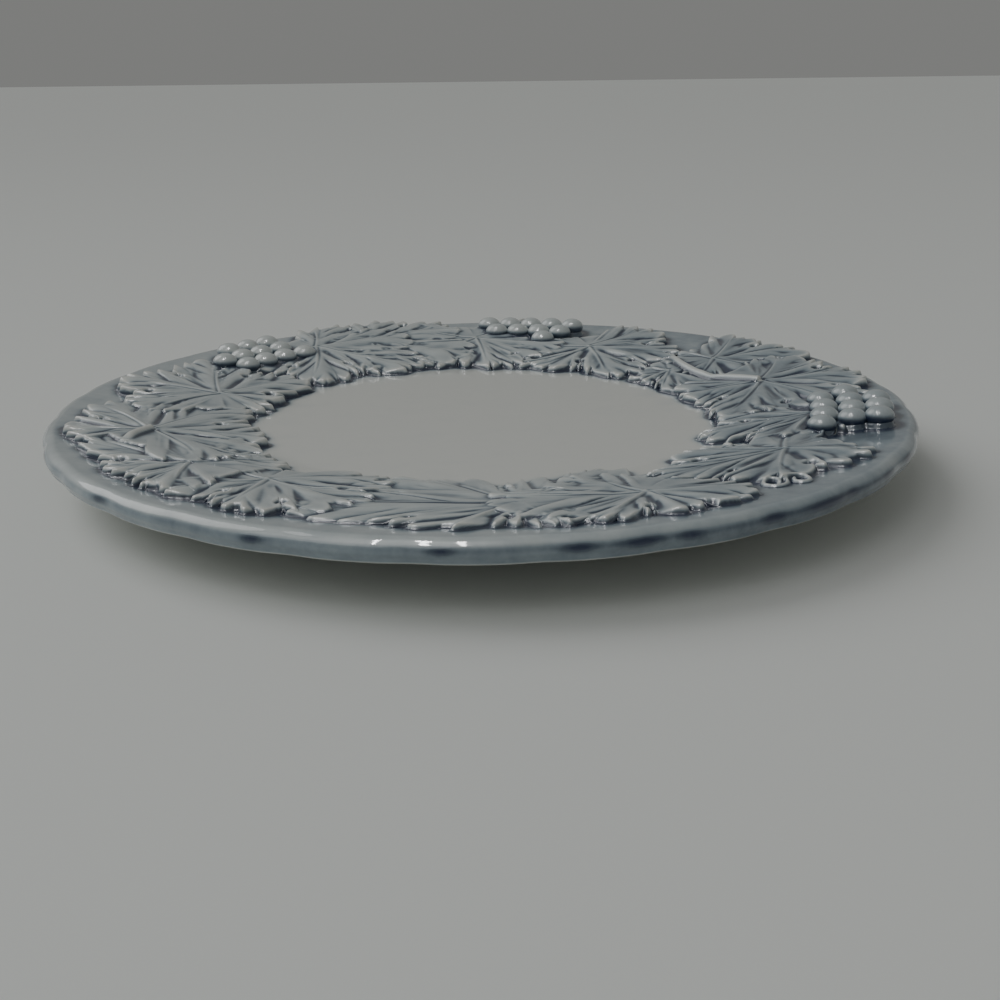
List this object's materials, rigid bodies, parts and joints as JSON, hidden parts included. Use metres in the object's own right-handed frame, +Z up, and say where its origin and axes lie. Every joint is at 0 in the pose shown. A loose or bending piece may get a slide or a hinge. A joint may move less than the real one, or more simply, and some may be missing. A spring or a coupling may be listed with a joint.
{
  "type": "side plate",
  "caption": "Round glazed earthenware side plate with a flat well, a thumbed rolled edge, a foot ring and a raised wreath of vine leaves and grape bunches round its rim.",
  "frame": {"origin": "middle of the foot ring, on the table", "axes": "+Z up out of the well, +X to the right and +Y away from someone facing the plate's front"},
  "size_m": [0.21, 0.21, 0.0202],
  "materials": {
    "body_glaze": "gloss",
    "leaf_glaze": "gloss",
    "grape_glaze": "gloss",
    "stalk_glaze": "gloss"
  },
  "bodies": {
    "root": {"plate_body": "body_glaze", "leaf_left": "leaf_glaze", "leaf_left_back": "leaf_glaze", "leaf_back_left_inner": "leaf_glaze", "leaf_back_left": "leaf_glaze", "leaf_back": "leaf_glaze", "leaf_back_right": "leaf_glaze", "leaf_right_back": "leaf_glaze", "leaf_right_back_small": "leaf_glaze", "leaf_right": "leaf_glaze", "leaf_right_small": "leaf_glaze", "leaf_right_front": "leaf_glaze", "leaf_front_right": "leaf_glaze", "leaf_front": "leaf_glaze", "leaf_front_left": "leaf_glaze", "leaf_left_front": "leaf_glaze", "grapes_back_left": "grape_glaze", "grapes_back": "grape_glaze", "grapes_right": "grape_glaze", "stalk_right": "stalk_glaze", "stalk_left": "stalk_glaze", "tendril_front_right": "stalk_glaze"}
  },
  "joints": []
}
